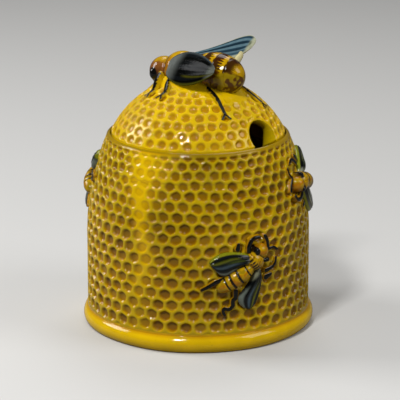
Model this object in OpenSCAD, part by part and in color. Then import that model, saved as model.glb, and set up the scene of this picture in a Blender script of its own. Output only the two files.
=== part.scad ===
// Honey pot shaped like a beehive, with a loose domed lid that sits in a gallery.
// A large bee lies on the lid as its knob, and smaller bees stand in relief on the wall.
// Wall and dome run through the ridges of the honeycomb, whose cells are left out.
// Units are millimetres. Z is up, the origin is on the axis at the foot, and the
// spoon notch of the lid faces -Y.

/* [Pot] */
// Outer radius of the wall, on the ridges of the honeycomb
pot_r = 52; // [46:0.5:64]
// Height of the pot to the top of its lip
pot_h = 90; // [80:1:110]
// Outer radius of the wall where it ends under the lip
neck_r = 41.5; // [34:0.5:50]
// Height at which the straight wall starts to draw in
shoulder_z = 42; // [30:1:55]
// Thickness of the wall
wall_t = 4.5; // [3.5:0.1:6]
// Thickness of the floor above the recess in the foot
floor_t = 4; // [3:0.1:6]
// Radius of the inside corner between floor and wall
corner_r = 8; // [3:0.5:12]

/* [Foot] */
// Radius of the rounded moulding round the foot
bead_r = 4.6; // [4:0.1:6]
// How far the moulding stands out past the wall
bead_out = 2.1; // [1:0.1:3]
// Height of the middle of the moulding
bead_z = 3.6; // [3:0.1:4]
// Depth of the recess under the pot
recess_h = 1.5; // [0.5:0.1:3]
// Width of the flat ring that the pot stands on
ring_w = 6.5; // [4:0.5:10]

/* [Lip and gallery] */
// Radius that rounds the lip over
lip_round = 2.4; // [1.5:0.1:3]
// Width of the lip beside the lid
lip_w = 1.9; // [1.5:0.1:3]
// Depth of the gallery that the lid sits in
gallery_h = 2.5; // [2:0.1:4]
// Width of the ledge that the lid rests on
ledge_w = 4.2; // [3:0.1:6]
// Height of the thick ring under the ledge
ledge_t = 5; // [4:0.5:8]

/* [Lid] */
// Height of the dome above the top of the lip
dome_rise = 25.4; // [20:0.1:34]
// Thickness of the lid
lid_t = 4.5; // [3.5:0.1:6]
// Gap between the edge of the lid and the lip
edge_gap = 0.3; // [0.2:0.05:1]
// Height of the flange that keeps the lid in the mouth
flange_h = 6; // [4:0.5:10]
// Thickness of the flange
flange_t = 3.5; // [2.5:0.1:5]
// Gap between the flange and the mouth
flange_gap = 0.6; // [0.3:0.1:1.5]

/* [Spoon notch] */
// Radius of the round top of the notch
notch_r = 8.5; // [5:0.1:11]
// Height of the middle of that arch above the top of the lip
notch_rise = 3.5; // [1:0.1:6]
// Radius of the flare where the notch meets the edge of the lid
notch_flare = 2.5; // [1:0.1:4]

/* [Bee on the lid] */
// Radius of the head
head_r = 7; // [5:0.1:8]
// Half width of the thorax
thorax_r = 9.2; // [7:0.1:11]
// Half length of the abdomen
abdomen_l = 15.5; // [12:0.5:18]
// Half width of the abdomen
abdomen_r = 9.6; // [7:0.1:11]
// Half height of the abdomen
abdomen_h = 10.75; // [7:0.05:12]
// Length of a wing
wing_l = 33.5; // [24:0.5:38]
// Half width of the wing that is held up
wing_up_w = 6.6; // [3:0.1:8]
// Half width of the wing that droops
wing_down_w = 7.8; // [3:0.1:9]
// Half thickness of a wing at a vein
vein_r = 1.2; // [0.9:0.1:2]
// Radius of a leg
leg_r = 1.3; // [1:0.1:2]

/* [Bees on the wall] */
// How far the thorax stands out from the wall
relief_h = 4.6; // [3:0.1:6]
// Length of a relief bee from tail to head
relief_l = 31; // [24:0.5:34]
// Height of the front and the back bee, at the thorax
low_z = 42; // [32:0.5:46]
// Drop from the top of the pot to the right-hand bee, at the thorax
right_drop = 20.5; // [16:0.5:30]
// Drop from the top of the pot to the left-hand bee, at the thorax
left_drop = 23; // [16:0.5:30]
// Angle of the front bee round the pot, from the notch
front_turn = -23; // [-40:1:0]
// Angle of the right-hand bee
right_turn = 21; // [0:1:40]
// Angle of the back bee
back_turn = 157; // [140:1:180]
// Angle of the left-hand bee
left_turn = 195; // [185:1:220]
/* [Hidden] */
$fn = 96;

yellow = "gold";
amber = "darkgoldenrod";
bee_brown = "saddlebrown";
wing_blue = "slategray";
leg_black = "dimgray";

// Gap at which an applied piece of clay lies on what carries it
lute = 0.12;
// Overlap of a cutting shape past the face that it cuts
over = 1;

// Wall above the shoulder: one arc, upright where it starts, that ends at neck_r
shoulder_rise = pot_h - shoulder_z;
shoulder_in = pot_r - neck_r;
shoulder_r = (shoulder_rise * shoulder_rise + shoulder_in * shoulder_in) / (2 * shoulder_in);
shoulder_x = pot_r - shoulder_r;
function wall_r(z) =
    z <= shoulder_z ? pot_r : shoulder_x + sqrt(pow(shoulder_r, 2) - pow(z - shoulder_z, 2));
function wall_lean(z) = z <= shoulder_z ? 0 : asin((z - shoulder_z) / shoulder_r);

lip_z = pot_h - lip_round;
lip_r = wall_r(lip_z);
gallery_r = lip_r - lip_w;
mouth_r = gallery_r - ledge_w;
ledge_z = pot_h - gallery_h;
floor_z = recess_h + floor_t;
foot_r = pot_r + bead_out;

// Lid: a dome that springs from the top of the lip
lid_r = gallery_r - edge_gap;
dome_r = (lid_r * lid_r + dome_rise * dome_rise) / (2 * dome_rise);
dome_z = pot_h + dome_rise - dome_r;
flange_r = mouth_r - flange_gap;
function dome_top(r) = dome_z + sqrt(pow(dome_r, 2) - r * r);
top_z = pot_h + dome_rise;

// The notch is cut square to the dome, at this height on it
notch_z = pot_h + notch_rise;
notch_tilt = asin((notch_z - dome_z) / dome_r);

// A point on the dome, at an angle from the notch, a distance from the axis, and raised by h
function on_dome(turn, r, h) = [r * sin(turn), -r * cos(turn), dome_top(r) + h];

// The pot turned on a wheel, as half of its section

module pot_outline() {
    translate([foot_r - bead_r, bead_z])
        circle(r = bead_r);
    square([pot_r, shoulder_z]);
    intersection() {
        translate([shoulder_x, shoulder_z])
            circle(r = shoulder_r);
        translate([0, shoulder_z])
            square([pot_r, shoulder_rise - lip_round]);
    }
    translate([lip_r - lip_round, lip_z])
        circle(r = lip_round);
}

module pot_cavity() {
    inner_r = pot_r - wall_t;
    corner_z = floor_z + corner_r;
    translate([0, floor_z])
        square([inner_r - corner_r, corner_r + over]);
    translate([inner_r - corner_r, corner_z])
        circle(r = corner_r);
    translate([0, corner_z])
        square([inner_r, shoulder_z - corner_z]);
    intersection() {
        translate([shoulder_x, shoulder_z])
            circle(r = shoulder_r - wall_t);
        translate([0, shoulder_z - over])
            square([inner_r, ledge_z - ledge_t - shoulder_z + over]);
    }
    translate([0, shoulder_z])
        square([mouth_r, pot_h]);
    translate([0, ledge_z])
        square([gallery_r, gallery_h + over]);
}

module pot() {
    color(yellow)
    rotate_extrude()
    difference() {
        pot_outline();
        pot_cavity();
        translate([0, -bead_r])
            square([foot_r + over, bead_r]);
        translate([0, -over])
            square([pot_r - ring_w, recess_h + over]);
    }
}

module lid_section() {
    difference() {
        union() {
            intersection() {
                translate([0, dome_z])
                    circle(r = dome_r);
                translate([0, ledge_z])
                    square([lid_r, top_z]);
            }
            translate([flange_r - flange_t, ledge_z - flange_h + flange_t / 2])
                square([flange_t, flange_h]);
            translate([flange_r - flange_t / 2, ledge_z - flange_h + flange_t / 2])
                circle(d = flange_t);
        }
        intersection() {
            translate([0, dome_z])
                circle(r = dome_r - lid_t);
            square([flange_r - flange_t, top_z]);
        }
    }
}

// Outline of the notch, seen along its own direction, with its arch centred on the origin.
// The arch closes in a little below its middle, and its feet are rounded off.
module notch_outline() {
    edge = notch_rise / cos(notch_tilt);
    foot_w = sqrt(notch_r * notch_r - edge * edge);
    circle(r = notch_r);
    translate([-foot_w, -dome_r])
        square([2 * foot_w, dome_r]);
    difference() {
        translate([-foot_w - notch_flare, -dome_r])
            square([2 * (foot_w + notch_flare), dome_r - edge + notch_flare]);
        for (side = [-1, 1])
            translate([side * (foot_w + notch_flare), notch_flare - edge])
                circle(r = notch_flare);
    }
}

module lid() {
    color(yellow)
    difference() {
        rotate_extrude()
            lid_section();
        translate([0, 0, dome_z])
            rotate([90 - notch_tilt, 0, 0])
                translate([0, 0, dome_r / 2])
                    linear_extrude(dome_r)
                        notch_outline();
    }
}

// The bee that is the knob. It lies along Y, with its tail over the notch.

head_at = [0, 20, top_z + 0.2];
thorax_at = [0, 9, top_z + 1.9];
abdomen_at = [0, -10.5, top_z + 2.6];
abdomen_tilt = -4;
eye_size = [1.6, 2.4, 3];
eye_drop = 1.2;

module lobe(size, grow) {
    scale(size + grow * [1, 1, 1])
        sphere(r = 1, $fn = 28);
}

// The three lobes of the body and its eyes, grown a little where they cut what lies on them
module bee_shape(grow = 0) {
    translate(head_at)
        lobe([head_r, head_r, head_r], grow);
    for (side = [-1, 1])
        translate(head_at + [side * (head_r - eye_size[0] / 2), 1.5, -eye_drop])
            lobe(eye_size, grow);
    translate(thorax_at)
        lobe([thorax_r, thorax_r, thorax_r], grow);
    translate(abdomen_at)
        rotate([abdomen_tilt, 0, 0])
            lobe([abdomen_r, abdomen_l, abdomen_h], grow);
}

module dome_cut() {
    translate([0, 0, dome_z])
        sphere(r = dome_r + lute, $fn = 72);
}

module bee_body() {
    color(bee_brown)
    difference() {
        bee_shape();
        dome_cut();
    }
}

module ball(p, r, n) {
    translate(p)
        sphere(r = r, $fn = n);
}

module limb(p, q, r1, r2) {
    hull() {
        ball(p, r1, 7);
        ball(q, r2, 7);
    }
}

// A wing is a leaf, lofted from sections across it, and veins stand out along it. Its
// width is greatest at a chosen share of its length.
web_share = 0.6;
tip_share = 0.14;
function leaf(t, widest) =
    tip_share + 0.2 * (1 - t) + 0.78 * pow(sin(180 * pow(t, ln(0.5) / ln(widest))), 0.7);
function half_t(s, edge) = sqrt(1 - s * s * (1 - edge * edge));

// Triangles that join rings of n points, one after another, with both ends closed
function loft_faces(rings, n) = [
    for (i = [0 : rings - 2], j = [0 : n - 1])
        let (k = (j + 1) % n, a = i * n, b = a + n)
            each [[a + j, a + k, b + k], [a + j, b + k, b + j]],
    for (j = [1 : n - 2])
        let (last = (rings - 1) * n)
            each [[0, j + 1, j], [last, last + j, last + j + 1]]
];

// Places across a section: over its top from -1 to 1, and back under it
function across(steps) = [for (i = [-steps : steps]) i / steps];
function back_across(steps) = [for (i = [-steps : steps]) -i / steps];

web_r = vein_r * web_share;
wing_out = 7;
wing_root = [8.5, 11, top_z + 6.5];
down_drop = 1.8;
wing_rings = 11;
wing_steps = 5;
edge_share = 0.45;
vein_s = [-0.5, 0, 0.5];
vein_t = [0.06, 0.34, 0.64, 0.94];

// A point of a wing: t along it, s across it, and h above its middle face. A wing is a
// list of its half width, rise, droop, camber and widest place.
function wing_point(t, s, h, wing) =
    let (w = wing[0], rise = wing[1], droop = wing[2], camber = wing[3],
         back = sqrt(wing_l * wing_l - wing_out * wing_out - rise * rise),
         up = h + camber * (1 - s * s) * sin(180 * t))
    wing_root + t * [wing_out, -back, rise]
        + s * w * leaf(t, wing[4]) * [cos(droop), 0, -sin(droop)]
        + up * [sin(droop), 0, cos(droop)];

module wing(wing) {
    points = [
        for (i = [0 : wing_rings - 1])
            let (t = i / (wing_rings - 1))
                each concat(
                    [for (s = across(wing_steps)) wing_point(t, s, web_r * half_t(s, edge_share), wing)],
                    [for (s = back_across(wing_steps)) wing_point(t, s, -web_r * half_t(s, edge_share), wing)])
    ];
    polyhedron(points, loft_faces(wing_rings, 4 * wing_steps + 2));
    for (s = vein_s)
        for (k = [0 : len(vein_t) - 2])
            limb(wing_point(vein_t[k], s, 0, wing), wing_point(vein_t[k + 1], s, 0, wing), vein_r, vein_r);
}

down_wing = [wing_down_w, 4, 61, 1.4, 0.46];
up_wing = [wing_up_w, 11, -28, -0.6, 0.72];

module bee_wing_left() {
    color(wing_blue)
    difference() {
        translate([0, 0, -down_drop])
            mirror([1, 0, 0])
                wing(down_wing);
        bee_shape(lute);
        dome_cut();
    }
}

// The raised wing is propped on the abdomen by a stub of clay under its inner edge
prop_t = 0.72;
prop_r = 1.9;

module bee_wing_right() {
    color(wing_blue)
    difference() {
        union() {
            wing(up_wing);
            limb(wing_point(prop_t, -0.35, 0, up_wing), abdomen_at + [abdomen_r * 0.6, -3, abdomen_h * 0.6],
                 prop_r, prop_r * 1.2);
        }
        bee_shape(lute);
        dome_cut();
    }
}

// Each leg has its hip on the flank, its knee and its foot on the dome, where a place is
// an angle from the notch and a distance from the axis. A web of clay fills in under it.
legs = [
    [[7, -9, top_z - 1], [29, 22], [27.5, 29.5]],
    [[7.5, 9.9, top_z - 0.5], [101, 19.5], [102, 21.5]],
    [[7, 16.3, top_z + 0.6], [126, 21], [124.6, 23]]
];
toe_turn = 4;
toe_l = 2;

module leg(hip, knee, foot) {
    knee_at = on_dome(knee[0], knee[1], 0.4);
    foot_at = on_dome(foot[0], foot[1], 0);
    limb(hip, knee_at, leg_r, leg_r);
    limb(knee_at, foot_at, leg_r, leg_r * 0.8);
    for (turn = [-toe_turn, toe_turn])
        limb(foot_at, on_dome(foot[0] + turn, foot[1] + toe_l, 0), leg_r * 0.8, leg_r * 0.5);
    hull() {
        ball(hip, leg_r * web_share, 6);
        ball(foot_at, leg_r * web_share, 6);
        ball([hip[0], hip[1], dome_top(norm([hip[0], hip[1]]))], leg_r, 6);
    }
}

module bee_legs() {
    color(leg_black)
    difference() {
        for (side = [0, 1])
            mirror([side, 0, 0])
                for (points = legs)
                    leg(points[0], points[1], points[2]);
        bee_shape(lute);
        dome_cut();
    }
}

// The bees in relief, bent onto the curved wall. A point of one is given as its distance
// along the bee from the thorax, to the bee's left and out of the wall. A bee is a list
// of its angle from the notch, its height and the way it heads.
unit = relief_l / 31;

function wall_across(bee, p) = unit * (p[0] * cos(bee[2]) - p[1] * sin(bee[2]));
function wall_z(bee, p) =
    bee[1] + unit * (p[0] * sin(bee[2]) + p[1] * cos(bee[2])) * cos(wall_lean(bee[1]));
function wall_turn(bee, p) = bee[0] + wall_across(bee, p) / wall_r(wall_z(bee, p)) * 180 / PI;
function wall_point(bee, p) =
    let (z = wall_z(bee, p), turn = wall_turn(bee, p), lean = wall_lean(z),
         r = wall_r(z) + p[2] * cos(lean))
    [r * sin(turn), -r * cos(turn), z + p[2] * sin(lean)];

module at(bee, p) {
    translate(wall_point(bee, p))
        rotate([0, 0, wall_turn(bee, p)])
            rotate([90 - wall_lean(wall_z(bee, p)), 0, 0])
                rotate([0, 0, bee[2]])
                    children();
}

module wall_limb(bee, p, q, r) {
    hull()
        for (end = [p, q])
            translate(wall_point(bee, end))
                sphere(r = r, $fn = 6);
}

small_wing_t = 1.75;
small_rings = 9;
small_steps = 5;
sink = 1;

// A smooth curve through a few stops, for t from 0 to 1
function spline(stops, t) =
    let (n = len(stops) - 1, k = min(floor(t * n), n - 1), f = t * n - k,
         p = stops[max(k - 1, 0)], a = stops[k], b = stops[k + 1], q = stops[min(k + 2, n)])
    0.5 * (2 * a + (b - p) * f + (2 * p - 5 * a + 4 * b - q) * f * f + (3 * a - p - 3 * b + q) * pow(f, 3));

// Front and hind edge of the left wing, from its root to its tip
front_edge = [[0.3, 3.2], [-3.4, 9.8], [-9.5, 14.2], [-16, 15.4]];
hind_edge = [[-2, 2.6], [-9.4, 4.4], [-16.2, 6.4], [-16.8, 13.6]];

// A point of a small wing: t along it, s from its hind to its front edge, h out of the wall
function small_wing_point(t, s, h, side) =
    let (f = spline(front_edge, t), r = spline(hind_edge, t), m = (r + f + s * (f - r)) / 2)
    [m[0], side * m[1], h];

module small_wing(bee, side) {
    points = [
        for (i = [0 : small_rings - 1])
            let (t = i / (small_rings - 1))
                each concat(
                    [for (s = across(small_steps))
                        wall_point(bee, small_wing_point(t, s, small_wing_t * half_t(s, edge_share), side))],
                    [for (s = back_across(small_steps))
                        wall_point(bee, small_wing_point(t, s, -sink, side))])
    ];
    faces = loft_faces(small_rings, 4 * small_steps + 2);
    polyhedron(points, side < 0 ? faces : [for (f = faces) [f[0], f[2], f[1]]]);
}

module relief_lobe(bee, a, b, size) {
    at(bee, [a, b, 0])
        scale([unit * size[0], unit * size[1], relief_h * size[2]])
            sphere(r = 1, $fn = 16);
}

// Legs and feelers: each is a bent line of three points on the left of the bee
small_legs = [
    [[-15, 3.5, 0.4], [-20, 6.8, 0.4], [-25.5, 8.5, 0.2]],
    [[-1, 4, 0.4], [-1, 9.4, 0.4], [0.4, 11, 0.2]],
    [[1.5, 2.5, 0.4], [3.4, 10.4, 0.4], [7.6, 9.6, 0.2]],
    [[5, 3, 0.6], [6, 7.2, 0.4], [9.2, 5.4, 0.2]]
];
small_leg_r = 0.8;
cut_steps = 12;

module relief_bee(bee) {
    color(amber)
    difference() {
        union() {
            relief_lobe(bee, 5.2, 0.6, [3.6, 3.9, 0.85]);
            relief_lobe(bee, 0.2, 0, [4.2, 4.4, 1]);
            relief_lobe(bee, -10.3, 0.6, [10.2, 4, 0.9]);
            for (side = [-1, 1]) {
                small_wing(bee, side);
                for (points = small_legs)
                    for (k = [0, 1]) {
                        p = points[k];
                        q = points[k + 1];
                        wall_limb(bee, [p[0], side * p[1], p[2]], [q[0], side * q[1], q[2]], small_leg_r);
                    }
            }
        }
        rotate_extrude()
            polygon(concat([[0, 0]],
                           [for (k = [0 : cut_steps]) let (z = k * lip_z / cut_steps) [wall_r(z) + lute, z]],
                           [[0, lip_z]]));
    }
}

low_heading = 45;
high_heading = 172;

module wall_bee_front() {
    relief_bee([front_turn, low_z, low_heading]);
}

module wall_bee_right() {
    relief_bee([right_turn, pot_h - right_drop, high_heading]);
}

module wall_bee_back() {
    relief_bee([back_turn, low_z, low_heading]);
}

module wall_bee_left() {
    relief_bee([left_turn, pot_h - left_drop, high_heading]);
}

pot();
lid();
bee_body();
bee_wing_left();
bee_wing_right();
bee_legs();
wall_bee_front();
wall_bee_right();
wall_bee_back();
wall_bee_left();
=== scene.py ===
import math

import bpy
import numpy as np
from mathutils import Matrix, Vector


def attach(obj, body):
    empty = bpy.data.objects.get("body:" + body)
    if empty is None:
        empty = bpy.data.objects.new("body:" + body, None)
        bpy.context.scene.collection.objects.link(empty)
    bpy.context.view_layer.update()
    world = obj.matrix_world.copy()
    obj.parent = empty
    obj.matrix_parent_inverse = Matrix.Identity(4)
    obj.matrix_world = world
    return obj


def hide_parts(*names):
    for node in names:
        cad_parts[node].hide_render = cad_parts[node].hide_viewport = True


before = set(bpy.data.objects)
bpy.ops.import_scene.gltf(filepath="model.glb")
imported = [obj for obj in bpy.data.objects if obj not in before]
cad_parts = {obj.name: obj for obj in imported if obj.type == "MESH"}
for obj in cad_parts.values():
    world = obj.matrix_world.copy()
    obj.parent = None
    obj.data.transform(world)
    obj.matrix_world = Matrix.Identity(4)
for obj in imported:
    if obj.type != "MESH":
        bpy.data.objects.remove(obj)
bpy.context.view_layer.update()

MM = 0.001
SEED = 7
# Profiles that turn round the axis end this close to it
AXIS_R = 0.01

# Driving sizes of the pot, in millimetres
POT_R = 52.0
POT_H = 90.0
NECK_R = 41.5
SHOULDER_Z = 42.0
WALL_T = 4.5
FLOOR_Z = 5.5
CORNER_R = 8.0
BEAD_R = 4.6
BEAD_OUT = 2.1
BEAD_Z = 3.6
RECESS_H = 1.5
RECESS_ROUND = 1.2
RING_W = 6.5
LIP_ROUND = 2.4
LIP_W = 1.9
GALLERY_H = 2.5
LEDGE_W = 4.2
LEDGE_T = 5.0

# Driving sizes of the lid
DOME_RISE = 25.4
LID_T = 4.5
EDGE_GAP = 0.3
FLANGE_H = 6.0
FLANGE_T = 3.5
FLANGE_GAP = 0.6
NOTCH_R = 8.5
NOTCH_RISE = 3.5
NOTCH_FLARE = 2.5

# The wall above the shoulder is one arc
RISE = POT_H - SHOULDER_Z
DRAW = POT_R - NECK_R
ARC_R = (RISE * RISE + DRAW * DRAW) / (2 * DRAW)
ARC_X = POT_R - ARC_R


def wall_r(z):
    high = np.clip(z - SHOULDER_Z, 0, None)
    return np.where(z > SHOULDER_Z, ARC_X + np.sqrt(ARC_R ** 2 - high ** 2), POT_R)


def wall_lean(z):
    return np.arcsin(np.clip(z - SHOULDER_Z, 0, None) / ARC_R)


LIP_Z = POT_H - LIP_ROUND
LIP_R = float(wall_r(np.array(LIP_Z)))
GALLERY_R = LIP_R - LIP_W
MOUTH_R = GALLERY_R - LEDGE_W
LEDGE_Z = POT_H - GALLERY_H
LID_R = GALLERY_R - EDGE_GAP
DOME_R = (LID_R ** 2 + DOME_RISE ** 2) / (2 * DOME_RISE)
DOME_Z = POT_H + DOME_RISE - DOME_R
FLANGE_R = MOUTH_R - FLANGE_GAP
TOP_Z = POT_H + DOME_RISE
NOTCH_TILT = math.asin((POT_H + NOTCH_RISE - DOME_Z) / DOME_R)


def smooth(low, high, x):
    t = np.clip((x - low) / (high - low), 0, 1)
    return t * t * (3 - 2 * t)


def tint(*rgb):
    """A colour given as it looks on a screen, 0 to 255, turned into light."""
    c = np.array(rgb) / 255
    return np.where(c <= 0.04045, c / 12.92, ((c + 0.055) / 1.055) ** 2.4)


def mix(a, b, t):
    t = np.asarray(t)[..., None]
    return a * (1 - t) + b * t


def painted(colour, *coats):
    """A colour with others laid over it, each with the share it covers."""
    for paint, share in coats:
        colour = mix(colour, paint, share)
    return colour


# Meshes

def make_piece(name, points, faces, floats=None, colours=None):
    """A smooth piece from points in millimetres, with what its glaze needs on each point."""
    mesh = bpy.data.meshes.new(name)
    points = np.asarray(points, dtype=np.float32).reshape(-1, 3) * MM
    flat = np.array([i for f in faces for i in f], dtype=np.int32)
    sizes = np.array([len(f) for f in faces], dtype=np.int32)
    mesh.vertices.add(len(points))
    mesh.vertices.foreach_set("co", points.reshape(-1))
    mesh.loops.add(len(flat))
    mesh.loops.foreach_set("vertex_index", flat)
    mesh.polygons.add(len(sizes))
    starts = np.concatenate([[0], np.cumsum(sizes)[:-1]]).astype(np.int32)
    mesh.polygons.foreach_set("loop_start", starts)
    mesh.update(calc_edges=True)
    mesh.polygons.foreach_set("use_smooth", np.ones(len(sizes), dtype=bool))
    for key, values in (floats or {}).items():
        layer = mesh.attributes.new(key, "FLOAT", "POINT")
        layer.data.foreach_set("value", np.asarray(values, dtype=np.float32).reshape(-1))
    if colours is not None:
        layer = mesh.attributes.new("paint", "FLOAT_COLOR", "POINT")
        rgba = np.ones((len(points), 4), dtype=np.float32)
        rgba[:, :3] = np.asarray(colours, dtype=np.float32).reshape(-1, 3)
        layer.data.foreach_set("color", rgba.reshape(-1))
    mesh.validate()
    piece = bpy.data.objects.new(name, mesh)
    bpy.context.scene.collection.objects.link(piece)
    return piece


def ring_faces(rows, columns, first):
    """Quads of a surface whose rows each close on themselves."""
    i = np.arange(rows - 1)[:, None] * columns
    j = np.arange(columns)[None, :]
    k = (j + 1) % columns
    return np.stack([i + j, i + k, i + columns + k, i + columns + j], -1).reshape(-1, 4) + first


def close_rings(rings, first=0):
    """Faces of a closed shape from rings of points, with the first and the last ring filled in."""
    rows, count = rings.shape[:2]
    faces = ring_faces(rows, count, first).tolist()
    faces.append([first + k for k in range(count)][::-1])
    faces.append([first + (rows - 1) * count + k for k in range(count)])
    return faces


def add_rings(shape, rings, paint):
    """Adds a closed shape made of rings to points, colours and faces that may hold others."""
    points, colours, faces = shape
    faces += close_rings(rings, sum(map(len, points)))
    points.append(rings.reshape(-1, 3))
    colours.append(paint.reshape(-1, 3))


def painted_piece(name, shape):
    points, colours, faces = shape
    return make_piece(name, np.concatenate(points), faces, colours=np.concatenate(colours))


def turned(r, angle, z):
    """Points at a distance from the axis, an angle from the front and a height."""
    r, angle, z = np.broadcast_arrays(r, angle, z)
    return np.stack([r * np.sin(angle), -r * np.cos(angle), z], -1)


def arc(cx, cz, r, start, end, count):
    a = np.radians(np.linspace(start, end, count))
    return np.stack([cx + r * np.cos(a), cz + r * np.sin(a)], -1)


def line(p, q, count):
    t = np.linspace(0, 1, count)[:, None]
    return np.array(p) * (1 - t) + np.array(q) * t


# Honeycomb: cells in rows, a little uneven, pressed into a curved wall

CELL_DEPTH = 1.3
RIDGE_HALF = 0.3
SLOPE = 1.0
CELL_R = 3.05
LID_CELL_R = 2.42
random = np.random.default_rng(SEED)


def press(near, second, edge_r):
    """How deep a cell is pressed at a point, 0 to 1, from the distances to its middle and the next."""
    inside = (second - near) / 2 - RIDGE_HALF
    bowl = edge_r - near
    blend = 0.3
    h = np.clip(0.5 + 0.5 * (bowl - inside) / blend, 0, 1)
    depth = bowl * (1 - h) + inside * h - blend * h * (1 - h)
    return smooth(0, SLOPE, depth) * (0.86 + 0.14 * (1 - np.clip(near / edge_r, 0, 1) ** 2))


COLUMNS = 50
PATTERN_ROWS = 24
JITTER = 0.06
ROW_STEP = 5.1
ROW_SQUASH = ROW_STEP / (2 * math.pi * POT_R / COLUMNS * math.sqrt(3) / 2)
FIRST_ROW_Z = 11.6
COMB_LOW = 8.2
COMB_HIGH = 88.9
SEAM_TURN = -83.0
SEAM_LOW_W = 5.5
SEAM_HIGH_W = 14.0
SEAM_WANDER = 3.4
# Heights between which the seam grows wider, deeper and brighter
SEAM_WIDENS = (58, 86)
SEAM_DEEPENS = (30, 70)
SEAM_BRIGHTENS = (14, 50)
WANDER = 2.9
WANDER_Z = 58.0
WANDER_H = 13.0


def pot_comb(turn, z):
    """Depth of the honeycomb on the pot, the number of the nearest cell and the height in it."""
    heights = np.linspace(0, POT_H, 1801)
    step_there = ROW_STEP * wall_r(heights) / POT_R
    along = np.cumsum(np.gradient(heights) / np.cos(wall_lean(heights)) / step_there)
    row = np.interp(z, heights, along) - np.interp(FIRST_ROW_Z, heights, along)
    wander = WANDER * np.exp(-((z - WANDER_Z) / WANDER_H) ** 2)
    u = (turn - wander) / 360 * COLUMNS
    size = wall_r(z) / POT_R
    pitch = 2 * math.pi * POT_R / COLUMNS * size
    step = ROW_STEP * size / ROW_SQUASH
    shift = random.normal(0, JITTER, (PATTERN_ROWS, COLUMNS, 2))
    distances = []
    numbers = []
    offsets = []
    for dk in (-1, 0, 1, 2):
        k = np.floor(row).astype(int) + dk
        odd = (k % 2) * 0.5
        for dj in (-1, 0, 1):
            j = np.round(u - odd).astype(int) + dj
            jitter = shift[k % PATTERN_ROWS, j % COLUMNS]
            dx = (u - j - odd - jitter[..., 0]) * pitch
            dy = (row - k - jitter[..., 1]) * step
            distances.append(np.hypot(dx, dy))
            offsets.append(dy / CELL_R)
            numbers.append((k % PATTERN_ROWS) * COLUMNS + j % COLUMNS)
    distances = np.stack(distances)
    nearest = distances.argmin(0)[None]
    numbers = np.take_along_axis(np.stack(numbers), nearest, 0)[0]
    height = np.take_along_axis(np.stack(offsets), nearest, 0)[0]
    near, second = np.partition(distances, 1, axis=0)[:2]
    return press(near, second, CELL_R * size), numbers, height


def wave(turn, z, seed):
    """Slow unevenness over the wall, about -1 to 1."""
    r = np.random.default_rng(seed)
    total = np.zeros(np.broadcast(turn, z).shape)
    for k in range(1, 6):
        round_it = np.radians(turn) * r.integers(1, 9)
        up_it = z * r.uniform(0.02, 0.16)
        total += np.sin(round_it + up_it + r.uniform(0, 6.3)) / k
    return total / 1.6


def turn_gap(turn, centre):
    return (turn - centre + 180) % 360 - 180


def pot_profile():
    """Section of the pot from the axis under it, up the outside and down to the axis inside."""
    foot_x = POT_R + BEAD_OUT - BEAD_R
    start = -math.degrees(math.asin(BEAD_Z / BEAD_R))
    end = math.degrees(math.acos((POT_R - foot_x) / BEAD_R))
    recess_r = POT_R - RING_W
    outside = np.concatenate([
        line([AXIS_R, RECESS_H], [recess_r - RECESS_ROUND, RECESS_H], 5),
        arc(recess_r - RECESS_ROUND, RECESS_H - RECESS_ROUND, RECESS_ROUND, 90, 14, 5),
        line([recess_r + 0.3, 0], [foot_x + BEAD_R * math.cos(math.radians(start)) - 0.6, 0], 4),
        arc(foot_x, BEAD_Z, BEAD_R, start + 4, end - 3, 26),
    ])
    z = np.linspace(BEAD_Z + BEAD_R * math.sin(math.radians(end)), LIP_Z, 232)
    lip_x = LIP_R - LIP_ROUND
    wall = np.concatenate([np.stack([wall_r(z), z], -1), arc(lip_x, LIP_Z, LIP_ROUND, 8, 40, 5)])
    inner_r = POT_R - WALL_T
    cavity_top = LEDGE_Z - LEDGE_T
    top_r = ARC_X + math.sqrt((ARC_R - WALL_T) ** 2 - (cavity_top - SHOULDER_Z) ** 2)
    zi = np.linspace(cavity_top, SHOULDER_Z, 16)
    curved = np.stack([ARC_X + np.sqrt((ARC_R - WALL_T) ** 2 - (zi - SHOULDER_Z) ** 2), zi], -1)
    gallery_top = LIP_Z + math.sqrt(LIP_ROUND ** 2 - (GALLERY_R - lip_x) ** 2)
    inside = np.concatenate([
        arc(lip_x, LIP_Z, LIP_ROUND, 46, 76, 6),
        line([GALLERY_R + 0.05, gallery_top - 0.15], [GALLERY_R, LEDGE_Z + 0.2], 4),
        line([GALLERY_R - 0.2, LEDGE_Z], [MOUTH_R + 0.5, LEDGE_Z], 4),
        arc(MOUTH_R + 0.5, LEDGE_Z - 0.5, 0.5, 100, 180, 4),
        line([MOUTH_R, LEDGE_Z - 1], [MOUTH_R, cavity_top + 0.6], 4),
        line([MOUTH_R + 0.3, cavity_top + 0.2], [top_r - 0.4, cavity_top - 0.1], 3),
        curved,
        line([inner_r, SHOULDER_Z - 2], [inner_r, FLOOR_Z + CORNER_R], 10),
        arc(inner_r - CORNER_R, FLOOR_Z + CORNER_R, CORNER_R, 0, -90, 10)[1:],
        line([inner_r - CORNER_R - 2, FLOOR_Z], [AXIS_R, FLOOR_Z], 6),
    ])
    return outside, wall, inside


POT_AROUND = 800
POT_DEPTHS = (0.72, 1.08)
FOOT_LUMP = 0.3
FOOT_DRAW = 0.24
RUBBED_LOW = 0.45
RUBBED_HIGH = 0.3
POOL_FOOT_Z = 7.6
POOL_FOOT = 0.55
POOL_LIP = 0.5
LIP_AMBER = (88.2, 89.3)
FOOT_TOP_Z = 8.5
BRIGHT = 0.85


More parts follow.
